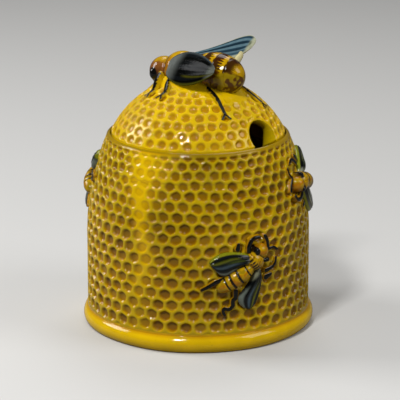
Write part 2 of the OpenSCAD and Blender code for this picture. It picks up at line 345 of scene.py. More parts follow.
def build_pot():
    outside, wall, inside = pot_profile()
    profile = np.concatenate([outside, wall, inside])
    first = len(outside)
    last = first + len(wall)
    turn = (np.arange(POT_AROUND) + 0.5) / POT_AROUND * 360
    r = np.repeat(profile[:, :1], POT_AROUND, 1)
    z = np.repeat(profile[:, 1:], POT_AROUND, 1)
    pool = np.zeros(r.shape)
    t = turn[None, :]
    wz = wall[:, 1][:, None] + 0 * t
    depth, cell, height = pot_comb(t + 0 * wz, wz)
    uneven = np.random.default_rng(SEED + 1).uniform(*POT_DEPTHS, PATTERN_ROWS * COLUMNS)[cell]
    # The cells are rubbed away where the two halves of the mould meet
    seam = np.zeros(depth.shape)
    for centre in (SEAM_TURN, SEAM_TURN + 180):
        gap = turn_gap(t, centre) + SEAM_WANDER * wave(t, wz, 11)
        width = SEAM_LOW_W + (SEAM_HIGH_W - SEAM_LOW_W) * smooth(*SEAM_WIDENS, wz)
        seam = np.maximum(seam, np.exp(-(gap / width) ** 2))
    fade = smooth(COMB_LOW, COMB_LOW + 1.5, wz) * (1 - smooth(COMB_HIGH - 1.2, COMB_HIGH, wz))
    fade = fade * (1 - (RUBBED_LOW + RUBBED_HIGH * smooth(*SEAM_DEEPENS, wz)) * seam)
    amount = depth * uneven * fade
    lean = wall_lean(wz)
    r[first:last] -= CELL_DEPTH * amount * np.cos(lean)
    z[first:last] -= CELL_DEPTH * amount * np.sin(lean)
    pool[first:last] = amount
    # Hand work: the foot is a little uneven
    lump = FOOT_LUMP * wave(t, z, 21) * smooth(9, 5, z) * (r > POT_R - RING_W + 1)
    r += np.where(r > POT_R - RING_W + 1, lump - FOOT_DRAW, 0)
    # Glaze runs together where the wall meets the foot
    pool = np.maximum(pool, POOL_FOOT * np.exp(-((z - POOL_FOOT_Z) / 0.9) ** 2) * (r > POT_R - 1))
    points = turned(r, np.radians(t), z)
    # Painted shade: the upper part of each cell takes the darker, more olive glaze colour and the lower part
    # the lighter, warmer one
    cell_shading = np.zeros(r.shape)
    cell_shading[first:last] = 0.5 - 0.5 * np.clip(height * 1.1, -1, 1)
    # Plain yellow on the rubbed seam and on the foot, amber on the lip
    smear = np.where((r > POT_R - RING_W + 0.5) & (z < FOOT_TOP_Z), BRIGHT, 0.0)
    smear[first:last] = np.maximum(smear[first:last], BRIGHT * seam * smooth(*SEAM_BRIGHTENS, wz))
    pool = np.maximum(pool, POOL_LIP * smooth(*LIP_AMBER, z) * (r > GALLERY_R - 0.5))
    glaze = {"pool": pool, "smear": smear, "cell_shading": cell_shading}
    return make_piece("pot_glazed", points, close_rings(points), glaze)


# The lid

def notch_place(p):
    """Place of points seen along the direction of the notch: across it and up it."""
    up = np.array([0, math.sin(NOTCH_TILT), math.cos(NOTCH_TILT)])
    q = p - np.array([0, 0, DOME_Z])
    return q[..., 0], q @ up


LID_AROUND = 720
LID_DEPTHS = (0.8, 1.08)
POLE = 0.0015
LID_ROW_STEP = 4.8
LID_PITCH = 6.1
LID_GROUP = 3
LID_EDGE_ROW = 2.6
ROUND_OVER = 1.1
LID_POOL = 0.62
LID_BRIGHT = 0.62
# Fixed share of the lighter lower-cell colour against the darker painted shade, the same all over the lid
LID_CELL_SHADING = 0.6
BEE_LIFT = 3.0
CHUNK = 20000
ROUND_SHARE = 0.6
GROUND_MID = 1
GROUND_X = 13.5
GROUND_Y = 24


def lid_cells():
    """Middles of the cells on the dome, as unit directions from its centre."""
    edge = math.asin(LID_R / DOME_R)
    cells = []
    k = 0
    turn = 0.0
    while True:
        a = edge - (LID_EDGE_ROW + k * LID_ROW_STEP) / DOME_R
        r = DOME_R * math.sin(a)
        if r < 8:
            break
        if k % LID_GROUP == 0:
            count = round(2 * math.pi * r / LID_PITCH)
        turn += 180 / count
        for j in range(count):
            b = math.radians(turn + 360 * j / count) + random.normal(0, 0.14) / r
            c = a + random.normal(0, 0.16) / DOME_R
            cells.append([math.sin(c) * math.sin(b), -math.sin(c) * math.cos(b), math.cos(c)])
        k += 1
    return np.array(cells)


def lid_comb(direction):
    cells = lid_cells()
    flat = direction.reshape(-1, 3)
    near = np.empty(len(flat))
    second = np.empty(len(flat))
    number = np.empty(len(flat), dtype=int)
    for i in range(0, len(flat), CHUNK):
        chunk = slice(i, i + CHUNK)
        d = np.linalg.norm(flat[chunk, None, :] - cells[None], axis=2) * DOME_R
        number[chunk] = d.argmin(1)
        near[chunk], second[chunk] = np.partition(d, 1, axis=1)[:, :2].T
    depth = press(near, second, LID_CELL_R)
    return depth.reshape(direction.shape[:-1]), number.reshape(direction.shape[:-1])


def bee_ground(x, y):
    """Distance outside the smooth patch of clay under the bee, in millimetres."""
    return (np.sqrt((x / GROUND_X) ** 2 + ((y - GROUND_MID) / GROUND_Y) ** 2) - 1) * 14


def build_lid():
    edge = math.asin(LID_R / DOME_R)
    a = np.linspace(edge, POLE, 132)
    turn = (np.arange(LID_AROUND) + 0.5) / LID_AROUND * 2 * math.pi
    direction = turned(np.sin(a)[:, None], turn, np.cos(a)[:, None])
    depth, cell = lid_comb(direction)
    place = direction * DOME_R + np.array([0, 0, DOME_Z])
    x, up = notch_place(place)
    from_notch = np.hypot(x, up) - NOTCH_R
    from_notch = np.where(place[..., 1] > 0, 99, from_notch)
    uneven = np.random.default_rng(SEED + 2).uniform(*LID_DEPTHS, 2000)[cell]
    arc_up = (edge - a)[:, None] * DOME_R
    ground = bee_ground(place[..., 0], place[..., 1])
    fade = smooth(0.6, 2.0, arc_up) * smooth(0.3, 2.2, from_notch) * smooth(0, 4, ground)
    amount = depth * uneven * fade
    drop = CELL_DEPTH * amount
    # Rounded over at the notch and at the edge
    for gap in (from_notch, arc_up + 0 * drop):
        inner = np.clip(ROUND_OVER - gap, 0, ROUND_OVER)
        inner = np.minimum(inner, ROUND_OVER * 0.98)
        drop = drop + (ROUND_OVER - np.sqrt(ROUND_OVER ** 2 - inner ** 2)) * ROUND_SHARE
    # Clay is built up a little under the bee
    lift = BEE_LIFT * smooth(2.5, -6, ground)
    outer = place + direction * (lift - drop)[..., None]
    inner_r = FLANGE_R - FLANGE_T
    shell_r = DOME_R - LID_T
    b = np.linspace(POLE, math.asin(inner_r / shell_r), 24)
    under = np.stack([shell_r * np.sin(b), DOME_Z + shell_r * np.cos(b)], -1)
    nose = FLANGE_T / 2
    flange_low = LEDGE_Z - FLANGE_H
    rim = np.concatenate([
        under,
        line([inner_r, under[-1, 1] - 1], [inner_r, flange_low + nose], 6),
        arc(FLANGE_R - nose, flange_low + nose, nose, 180, 360, 12)[1:],
        line([FLANGE_R, flange_low + nose + 0.8], [FLANGE_R, LEDGE_Z - 0.3], 4),
        line([FLANGE_R + 0.3, LEDGE_Z], [LID_R - 1.0, LEDGE_Z], 4),
        line([LID_R - 0.35, LEDGE_Z + 0.35], [LID_R - 0.3, POT_H - 0.5], 4),
    ])
    below = turned(rim[:, :1], turn, rim[:, 1:])
    points = np.concatenate([outer[::-1], below[::-1]])
    pool = np.concatenate([LID_POOL * amount[::-1], np.zeros(below.shape[:2])])
    faces = [face[::-1] for face in close_rings(points)]
    glaze = {"pool": pool, "smear": LID_BRIGHT + 0 * pool, "cell_shading": LID_CELL_SHADING + 0 * pool}
    lid = make_piece("lid_glazed", points, faces, glaze)
    cut_notch(lid)
    return lid


def notch_outline():
    """Outline of the notch: an arch that closes in at its feet, which are rounded off."""
    low = NOTCH_RISE / math.cos(NOTCH_TILT)
    foot = math.sqrt(NOTCH_R ** 2 - low ** 2)
    start = math.degrees(math.asin(-low / NOTCH_R))
    right = arc(foot + NOTCH_FLARE, NOTCH_FLARE - low, NOTCH_FLARE, 270, 200, 8)
    arch = arc(0, 0, NOTCH_R, start + 12, 180 - start - 12, 48)
    left = right[::-1] * [-1, 1]
    deep = DOME_R
    wide = foot + NOTCH_FLARE
    return np.concatenate([[[wide, -deep]], right, arch, left, [[-wide, -deep]]])


def cut_notch(lid):
    outline = notch_outline()
    out = np.array([0, -math.cos(NOTCH_TILT), math.sin(NOTCH_TILT)])
    up = np.array([0, math.sin(NOTCH_TILT), math.cos(NOTCH_TILT)])
    flat = outline[:, :1] * np.array([1, 0, 0]) + outline[:, 1:] * up
    base = np.array([0, 0, DOME_Z])
    count = len(outline)
    points = np.concatenate([base + flat + out * DOME_R * 0.5, base + flat + out * DOME_R * 1.4])
    faces = [[i, (i + 1) % count, count + (i + 1) % count, count + i] for i in range(count)]
    faces += [list(range(count))[::-1], list(range(count, 2 * count))]
    cutter = make_piece("notch_cutter", points, faces)
    cut = lid.modifiers.new("notch", "BOOLEAN")
    cut.operation = "DIFFERENCE"
    cut.solver = "EXACT"
    cut.object = cutter
    bake_modifiers(lid)
    bpy.data.objects.remove(cutter, do_unlink=True)


def bake_modifiers(piece):
    graph = bpy.context.evaluated_depsgraph_get()
    graph.update()
    new = bpy.data.meshes.new_from_object(piece.evaluated_get(graph))
    piece.modifiers.clear()
    old = piece.data
    piece.data = new
    bpy.data.meshes.remove(old)


# The bee on the lid

HEAD_R = 7.0
THORAX_R = 9.2
ABDOMEN = np.array([9.6, 15.5, 10.75])
HEAD_AT = np.array([0, 20, TOP_Z + 0.2])
THORAX_AT = np.array([0, 9, TOP_Z + 1.9])
ABDOMEN_AT = np.array([0, -10.5, TOP_Z + 2.6])
ABDOMEN_TILT = math.radians(-4)
EYE = np.array([1.5, 2.2, 2.7])
BODY_FRONT = 26.9
BODY_BACK = -25.9
BANDS = 5
JOIN = 1.6
STEP_H = 0.42
STEP_W = 0.16
STEP_FADE = 0.55
# Line through the bee, from tail to face, that its surface is found from
CORE_Y = (-26, -10, 9, 20, 27)
CORE_UP = (3.3, 2.6, 1.9, 0.2, 0.2)

YELLOW = tint(192, 150, 4)
OCHRE = tint(160, 104, 3)
ORANGE = tint(178, 104, 4)
RUST = tint(104, 52, 8)
BROWN = tint(48, 18, 3)
OLIVE = tint(118, 110, 12)
INK = tint(10, 10, 9)
CREAM = tint(196, 186, 138)
CLAY = tint(204, 166, 4)


def egg(p, middle, size):
    q = (p - middle) / size
    return (np.sqrt((q * q).sum(-1)) - 1) * min(size)


def soft_min(a, b, k):
    h = np.clip(0.5 + 0.5 * (b - a) / k, 0, 1)
    return b * (1 - h) + a * h - k * h * (1 - h)


def tilted(p):
    """Points in the frame of the abdomen: across, towards the head and up from its middle."""
    q = p - ABDOMEN_AT
    c, s = math.cos(-ABDOMEN_TILT), math.sin(-ABDOMEN_TILT)
    return np.stack([q[..., 0], c * q[..., 1] - s * q[..., 2], s * q[..., 1] + c * q[..., 2]], -1)


def along_abdomen(p):
    return (ABDOMEN[1] - tilted(p)[..., 1]) / (2 * ABDOMEN[1])


def eyes_field(p):
    side = np.array([HEAD_R - EYE[0] / 2, 1.3, -0.5])
    q = np.concatenate([np.abs(p[..., :1]), p[..., 1:]], -1)
    return egg(q, HEAD_AT + side, EYE)


def body_field(p):
    """Below zero inside the bee: head, thorax and abdomen run together, then the eyes."""
    q = tilted(p)
    u = np.clip((ABDOMEN[1] - q[..., 1]) / (2 * ABDOMEN[1]), 0, 0.999)
    edge = (u * BANDS) % 1
    step = STEP_H * (smooth(0, STEP_W, edge) * (1 - STEP_FADE * edge)) - STEP_H
    abdomen = egg(q, np.zeros(3), ABDOMEN) - step * smooth(0.1, 0.22, u) * smooth(0.96, 0.8, u)
    body = soft_min(egg(p, HEAD_AT, np.full(3, HEAD_R)), egg(p, THORAX_AT, np.full(3, THORAX_R)), JOIN)
    body = soft_min(body, abdomen, JOIN)
    return soft_min(body + 0.12, eyes_field(p) + 0.05, 0.4)


def noise3(p, scale, seed):
    """Smooth unevenness in space, about -1 to 1, from a few turned waves."""
    r = np.random.default_rng(seed)
    total = np.zeros(p.shape[:-1])
    for _ in range(14):
        way = r.normal(size=3)
        way = way / np.linalg.norm(way) * r.uniform(0.5, 2.0) / scale
        total += np.sin(p @ way * 2 * math.pi + r.uniform(0, 6.3))
    return total / 3.2


def teeth(x):
    return 2 * np.abs(x % 1 - 0.5)


def paint_body(p):
    q = tilted(p)
    u = along_abdomen(p)
    roll = np.degrees(np.arctan2(np.abs(q[..., 0]), q[..., 2]))
    blotch = noise3(p, 7.0, 31)
    fine = noise3(p, 2.2, 32)
    # Abdomen: dark bands with teeth that point to the tail
    wobble = 0.012 * noise3(p, 5.0, 33)
    band = ((u + wobble) * BANDS) % 1
    tooth = teeth(roll / 9.5 + 0.3 * np.floor(u * BANDS))
    top = mix(YELLOW, OCHRE, smooth(0.1, 1.1, blotch + 0.3 * fine))
    dark = smooth(0.56 + 0.32 * tooth, 0.46 + 0.32 * tooth, band + 0.04 * fine)
    dark = dark * smooth(0.98, 0.88, u)
    colour = mix(top, BROWN, dark * 0.96)
    flank = smooth(54, 76, roll + 12 * blotch)
    low = mix(RUST, BROWN, smooth(-0.6, 0.5, fine))
    low = mix(low, OCHRE, smooth(0.3, 0.8, noise3(p, 4.5, 35)) * 0.7)
    colour = mix(colour, low, flank)
    tail = smooth(0.5, 0.66, u)
    rump = mix(mix(YELLOW, OLIVE, 0.6 + 0 * u), tint(78, 36, 5), 0.9 * smooth(-0.1, 0.7, noise3(p, 3.4, 34)))
    colour = mix(colour, rump, tail * smooth(56, 74, roll + 8 * blotch))
    # Thorax and head, browner low down
    y = p[..., 1]
    up = p[..., 2] - TOP_Z
    chest = mix(OCHRE, YELLOW, smooth(4, 10, up + 1.2 * blotch))
    chest = mix(chest, RUST, smooth(3, -2, up + 1.5 * blotch))
    colour = mix(colour, chest, smooth(1.0, 4.0, y))
    face = painted(YELLOW,
                   (tint(134, 82, 34), smooth(6.6, 4.2, up + 0.6 * blotch)),
                   (tint(84, 46, 16), smooth(4.0, 0.5, up + blotch)),
                   (BROWN, smooth(-0.5, -3.5, up + blotch)))
    neck = np.exp(-((y - 14.2) / 1.0) ** 2)
    return painted(colour, (face, smooth(13.2, 15.4, y)), (BROWN, 0.75 * neck),
                   (INK, smooth(0.35, 0.1, eyes_field(p))))


def build_bee_body():
    rows, around = 270, 300
    s = np.linspace(0.012, math.pi - 0.012, rows)
    middle, reach = (BODY_FRONT + BODY_BACK) / 2, (BODY_FRONT - BODY_BACK) / 2
    y = middle + reach * np.cos(s)
    height = TOP_Z + np.interp(y, CORE_Y, CORE_UP)
    a = np.arange(around) / around * 2 * math.pi
    way = np.stack([np.sin(a), 0 * a, np.cos(a)], -1)[None]
    core = np.stack([0 * y, y, height], -1)[:, None]
    low = np.zeros((rows, around))
    high = np.full((rows, around), 14.0)
    for _ in range(26):
        half = (low + high) / 2
        inside = body_field(core + way * half[..., None]) < 0
        low = np.where(inside, half, low)
        high = np.where(inside, high, half)
    points = core + way * low[..., None]
    return make_piece("bee_body_glazed", points, close_rings(points), colours=paint_body(points))


# Wings of that bee: a leaf lofted from sections across it, as in the solids

WING_L = 33.5
WING_OUT = 7.0
WING_ROOT = np.array([8.5, 11, TOP_Z + 6.5])
WING_DROP = 1.8
VEIN_R = 1.2
RIB = 0.045
EDGE_SHARE = 0.45
UP_WING = (7.6, 9.0, math.radians(-36), -0.6, 0.76)
DOWN_WING = (7.8, 4.0, math.radians(61), 1.4, 0.46)


def leaf(t, widest):
    full = np.sin(np.pi * np.clip(t, 0, 1) ** (math.log(0.5) / math.log(widest)))
    return 0.14 + 0.2 * (1 - t) + 0.78 * np.clip(full, 0, 1) ** 0.7


def wing_surface(t, s, h, wing):
    w, rise, droop, camber, widest = wing
    back = math.sqrt(WING_L ** 2 - WING_OUT ** 2 - rise ** 2)
    up = h + camber * (1 - s * s) * np.sin(np.pi * t)
    spine = WING_ROOT + t[..., None] * np.array([WING_OUT, -back, rise])
    side = np.array([math.cos(droop), 0, -math.sin(droop)])
    over = np.array([math.sin(droop), 0, math.cos(droop)])
    return spine + (s * w * leaf(t, widest))[..., None] * side + up[..., None] * over


def tube(path, radius, count=24):
    """Rings round a path in space."""
    ahead = np.gradient(path, axis=0)
    side = np.cross(ahead, np.array([0.2, 1.0, 0.1]))
    side = side / np.linalg.norm(side, axis=1)[:, None]
    over = np.cross(side, ahead)
    over = over / np.linalg.norm(over, axis=1)[:, None]
    a = np.linspace(0, 2 * math.pi, count, endpoint=False)[None, :, None]
    return path[:, None] + radius[:, None, None] * (np.cos(a) * side[:, None] + np.sin(a) * over[:, None])


# The raised wing is propped on the abdomen by a curl of clay
PROP_TOP = (0.87, -0.7)
PROP_FOOT = ABDOMEN_AT + np.array([4.6, -7.6, 6.0])
PROP_R = 1.35
PROP_BOW = (0.4, -0.5, 0.5)
PROP_TAPER = (0.75, 1.35)


def wing_prop():
    top = wing_surface(np.array(PROP_TOP[0]), np.array(PROP_TOP[1]), np.array(0.0), UP_WING)
    middle = (top + PROP_FOOT) / 2 + PROP_BOW
    path = bend([top, middle, PROP_FOOT], 26)
    return tube(path, PROP_R * np.linspace(*PROP_TAPER, len(path)))


def build_knob_wing(name, wing, mirrored, paint, prop=None):
    rows, across = 130, 90
    t = 0.5 - 0.5 * np.cos(np.linspace(0, math.pi, rows))[:, None]
    s = -np.cos(np.linspace(0, math.pi, across))[None, :]
    t, s = np.broadcast_arrays(t, s)
    # The tip is round, so the last rows draw in
    body = np.sqrt(1 - s * s * (1 - EDGE_SHARE ** 2))
    rib = RIB * np.exp(-((((s + 1.0) * 3) % 1 - 0.5) / 0.25) ** 2)
    thick = VEIN_R * (0.60 * body + rib * (1 - s * s)) + 0.05 * wave(t * 40, s * 60, 41)
    nip = np.sqrt(np.clip(1 - (2 * t - 1) ** 8, 0.02, 1))
    top = wing_surface(t, s, thick * nip, wing)
    low = wing_surface(t, s, -thick * nip, wing)
    points = np.concatenate([top, low[:, ::-1]], 1)
    colours = np.concatenate([paint(t, s, 1), paint(t, s, -1)[:, ::-1]], 1)
    if mirrored:
        points = (points - [0, 0, WING_DROP]) * [-1, 1, 1]
        points, colours = points[::-1], colours[::-1]
    shape = ([], [], [])
    add_rings(shape, points, colours)
    if prop is not None:
        add_rings(shape, prop, CREAM + 0 * prop)
    return painted_piece(name, shape)


def streaks(t, s, seed, count=5):
    """Brush strokes that run along a wing, 0 to 1."""
    r = np.random.default_rng(seed)
    total = np.zeros(t.shape)
    for _ in range(count):
        total += np.sin(s * r.uniform(7, 19) + t * r.uniform(-2.5, 2.5) + r.uniform(0, 6.3))
    return smooth(-0.5, 1.2, total)


def paint_down_wing(t, s, face):
    stroke = streaks(t, s, 51)
    line_at = np.exp(-((s - 0.52 - 0.25 * (t - 0.5)) / 0.06) ** 2) * smooth(0.35, 0.5, t)
    return painted(tint(5, 6, 5),
                   (tint(14, 17, 19), stroke),
                   (tint(104, 108, 104), smooth(0.34, 0.04, t + 0.08 * s)),
                   # Pale grey along the upper edge is a painted highlight
                   (tint(64, 70, 72), smooth(0.8, 0.98, -s)),
                   (tint(96, 100, 92), smooth(0.84, 0.97, t + 0.05 * s)),
                   (tint(70, 70, 8), smooth(0.84, 0.96, s)),
                   (tint(72, 70, 10), line_at))


def paint_up_wing(t, s, face):
    if face < 0:
        return mix(CREAM, OCHRE, 0.5 * streaks(t, s, 61))
    dark = np.exp(-((s + 0.25) / 0.10) ** 2) + np.exp(-((s - 0.35) / 0.09) ** 2)
    rim = np.maximum(np.maximum(smooth(0.9, 0.99, s), smooth(0.70, 0.84, -s)), smooth(0.88, 0.95, t))
    spot = np.exp(-((t - 0.93) / 0.022) ** 2 - ((s - 0.15) / 0.3) ** 2)
    return painted(tint(34, 58, 72),
                   (tint(84, 110, 120), streaks(t, s, 62, 4)),
                   (tint(20, 34, 42), 0.8 * np.clip(dark, 0, 1) * smooth(0.95, 0.8, t)),
                   (tint(158, 160, 134), rim),
                   (tint(60, 74, 50), 0.8 * spot))


# Paths, and ridges of clay along them on the dome: legs and toes

def dome_top(x, y):
    return DOME_Z + np.sqrt(DOME_R ** 2 - x * x - y * y)


def on_dome(turn, r, h):
    a = math.radians(turn)
    x, y = r * math.sin(a), -r * math.cos(a)
    return np.array([x, y, float(dome_top(x, y)) + h])


def spline_at(stops, t):
    """Places on a smooth path through a few stops, for t from 0 to 1."""
    stops = np.array(stops, dtype=float)
    t = np.clip(t, 0, 1) * (len(stops) - 1)
    k = np.clip(t.astype(int), 0, len(stops) - 2)
    f = (t - k)[..., None]
    before = stops[np.clip(k - 1, 0, None)]
    after = stops[np.clip(k + 2, None, len(stops) - 1)]
    a, b = stops[k], stops[k + 1]
    return 0.5 * (2 * a + (b - before) * f + (2 * before - 5 * a + 4 * b - after) * f ** 2
                  + (3 * a - before - 3 * b + after) * f ** 3)


def bend(stops, count):
    """Evenly counted places on that path."""
    return spline_at(stops, np.linspace(0, 1, count))


def ridge(path, radius, web, count=28):
    """A rounded ridge along a path on the dome. A web of clay of a given width fills in below it."""
    path = np.asarray(path)
    ahead = np.gradient(path, axis=0)
    out = path - np.array([0, 0, DOME_Z])
    out = out / np.linalg.norm(out, axis=1)[:, None]
    side = np.cross(ahead, out)
    side = side / np.linalg.norm(side, axis=1)[:, None]
    height = np.linalg.norm(path - np.array([0, 0, DOME_Z]), axis=1) - DOME_R
    a = np.linspace(0, 2 * math.pi, count, endpoint=False)
    rings = []
    for i in range(len(path)):
        r = radius[i]
        down = max(height[i] + LEG_SUNK, 0.2)
        across = np.sin(a)
        up = np.cos(a)
        low = np.clip(-up, 0, 1)
        wide = r * across * (1 + low * (web[i] / r - 1) * (1 - low * 0.3))
        tall = np.where(up > 0, r * up, -down * low)
        rings.append(path[i] + side[i] * wide[:, None] + out[i] * tall[:, None])
    return np.array(rings), np.degrees(np.abs((a + math.pi) % (2 * math.pi) - math.pi))


LEG_R = 1.3
LEG_TAPER = 0.72
LEG_SUNK = 0.9
LEG_RAGGED = 14
LEG_INK = (64, 52)
LEG_BARE = 0.14
LEGS = (
    ((7, -9, TOP_Z - 1), (29, 22), (27.5, 29.5), 2.2),
    ((7.5, 9.9, TOP_Z - 0.5), (101, 19.5), (102, 21.5), 4.6),
    ((7, 16.3, TOP_Z + 0.6), (126, 21), (124.6, 23), 4.2),
)
THIGH_BOW = (0.5, 0, 0.5)
TOE_TURN = 4.0
TOE_L = 2.0
TOE_R = LEG_R * 0.62
TOE_WEB = 0.7
LEG_BLACK = tint(12, 11, 9)
LEG_GREY = tint(70, 72, 66)


def build_bee_legs():
    shape = ([], [], [])
    for side in (1, -1):
        for hip, knee, foot, web in LEGS:
            hip_at = np.array(hip, dtype=float)
            knee_at = on_dome(*knee, 0.5)
            foot_at = on_dome(*foot, 0.1)
            thigh = (hip_at + knee_at) / 2 + THIGH_BOW
            paths = [(bend([hip_at, thigh, knee_at, foot_at], 44), LEG_R, web)]
            for turn in (-TOE_TURN, TOE_TURN):
                toe = on_dome(foot[0] + turn, foot[1] + TOE_L, 0.0)
                paths.append((bend([foot_at - (toe - foot_at) * 0.2, foot_at, toe], 14), TOE_R, TOE_WEB))
            for path, r, wide in paths:
                path = path * [side, 1, 1]
                taper = np.linspace(1.0, LEG_TAPER, len(path))
                web_there = np.maximum(wide * np.linspace(1, 0.5, len(path)), r * 0.8)
                rings, roll = ridge(path, r * taper, web_there)
                ragged = LEG_RAGGED * wave(np.arange(len(path))[:, None] * 9.0, roll[None, :], 71)
                ink = smooth(*LEG_INK, roll[None, :] + ragged)
                ink = ink * smooth(0.0, LEG_BARE, np.linspace(0, 1, len(path)))[:, None]
                stroke = streaks(np.linspace(0, 3, len(path))[:, None] + 0 * ink, ink * 0, 72)
                black = mix(LEG_BLACK, LEG_GREY, 0.35 * stroke)
                add_rings(shape, rings, mix(CLAY + 0 * black, black, ink))
    return painted_piece("bee_legs_glazed", shape)


# Bees in relief: body, legs and feelers are one height field bent onto the wall, wings are lofted

RELIEF_H = 4.6
SUNK = -1.7
GRID = 0.2
GRID_A = (-29.0, 13.4)
GRID_B = (-18.5, 18.6)


def wall_points(bee, a, b, h):
    turn, z0, heading = bee
    th = math.radians(heading)
    across = a * math.cos(th) - b * math.sin(th)
    up = a * math.sin(th) + b * math.cos(th)
    z = z0 + up * math.cos(float(wall_lean(np.array(z0))))
    angle = math.radians(turn) + across / wall_r(z)
    lean = wall_lean(z)
    return turned(wall_r(z) + h * np.cos(lean), angle, z + h * np.sin(lean))


def cap_height(a, b, at, size):
    q = 1 - ((a - at[0]) / size[0]) ** 2 - ((b - at[1]) / size[1]) ** 2
    return np.where(q > 0, size[2] * np.sqrt(np.clip(q, 0, 1)), SUNK)


def stroke_gap(a, b, stops):
    """Distance from a bent line of stops, and how far along it the nearest place is."""
    path = bend([(*s, 0) for s in stops], 60)[:, :2]
    d = np.hypot(a[..., None] - path[:, 0], b[..., None] - path[:, 1])
    k = d.argmin(-1)
    return np.take_along_axis(d, k[..., None], -1)[..., 0], k / (len(path) - 1)


# Edges of the small wings from root to tip, front and hind, left and right, in the bee's frame
LEFT_WING = (((1.1, 2.1), (-0.7, 6.2), (-4.1, 10.9), (-7.5, 13.8), (-11.3, 15.4), (-14.6, 15.3)),
             ((-1.4, 0.8), (-5.5, 2.2), (-9.7, 3.8), (-13.5, 4.9), (-15.2, 7.6), (-15.0, 13.2)))
RIGHT_WING = (((-0.1, -4.1), (-2.6, -8.6), (-6.1, -11.8), (-10.1, -14.2), (-14.1, -15.4), (-17.6, -15.0)),
              ((-2.9, -3.6), (-8.5, -5.4), (-13.6, -5.9), (-17.3, -6.6), (-19.1, -9.8), (-18.7, -13.2)))
WING_LOW = 0.9
WING_HIGH = 1.7
SMALL_RIB = 0.22


def small_wing(bee, edges, seed):
    """A wing in relief, lofted between its two edges and sunk into the wall below."""
    rows, across = 90, 56
    t = (0.5 - 0.5 * np.cos(np.linspace(0, math.pi, rows)))[:, None]
    s = np.linspace(-1, 1, across)[None, :]
    s = np.sin(s * math.pi / 2)
    t, s = np.broadcast_arrays(t, s)
    front, hind = (spline_at(e, t) for e in edges)
    place = hind + (front - hind) * (s[..., None] + 1) / 2
    rib = np.exp(-((((s + 1) * 2.5) % 1 - 0.5) / 0.2) ** 2)
    edge = np.clip(1 - s * s, 0, 1) ** 0.5 * np.clip(1 - (2 * t - 1) ** 8, 0, 1) ** 0.5
    swell = (1 - 0.35 * s) * (0.75 + 0.5 * smooth(0.6, 0, t))
    rise = (WING_LOW + WING_HIGH * swell + SMALL_RIB * rib) * edge
    top = wall_points(bee, place[..., 0], place[..., 1], rise)
    low = wall_points(bee, place[..., 0], place[..., 1], np.full(t.shape, SUNK))
    paint = paint_small_wing(t, s, seed)
    return np.concatenate([top, low[:, ::-1]], 1), np.concatenate([paint, paint[:, ::-1]], 1)


# Legs and feelers in the bee's frame: stops, width and rise of each
STROKES = (
    (((1.5, 5.2), (3.3, 6.7), (5.6, 7.4), (7.5, 7.0), (9.2, 5.4)), 0.95, 1.6),
    (((11.5, 2.9), (10.8, 0.7), (9.6, -1.0), (8.6, -2.6), (10.5, -4.4), (11.1, -7.0)), 0.72, 1.0),
    (((0.5, -8.8), (3.4, -10.5), (6.0, -10.7), (8.1, -9.2)), 0.75, 0.9),
    (((-1.8, -11.0), (0.7, -12.2)), 1.0, 0.9),
    (((-1.3, 9.7), (0.4, 10.9)), 0.9, 0.8),
    (((-14.9, 4.6), (-18.4, 6.3), (-20.3, 6.9), (-23.7, 7.9), (-25.7, 8.6)), 0.85, 0.9),
    (((-15.8, -3.4), (-18.0, -5.4), (-19.8, -5.5), (-21.8, -7.2), (-24.0, -6.9), (-25.1, -5.1),
      (-26.5, -5.7), (-27.1, -7.3)), 0.85, 0.9),
)
SMALL_HEAD_AT = (5.2, 0.4)
SMALL_HEAD = (3.5, 3.7, 0.88 * RELIEF_H)
SMALL_CHEST_AT = (0.0, -0.4)
SMALL_CHEST = (4.2, 4.7, RELIEF_H)
SMALL_TAIL = (10.6, 4.1, 0.92 * RELIEF_H)
SMALL_EYE_AT = (3.5, 3.1)
SMALL_EYE = (1.75, 1.15, 2.6)
TOOTH_STEP = 0.95
HATCH_STEP = 1.35
CLAY_SHARE = 1.75
THINNING = 0.35
TAIL_AT = (-11.2, 0.8)
TAIL_TURN = math.radians(-13)
STRIPES = ((-5.9, 0.32, 0.1), (-10.4, 0.42, 0.5), (-14.1, 0.46, 0.4), (-16.7, 0.34, 0.1))


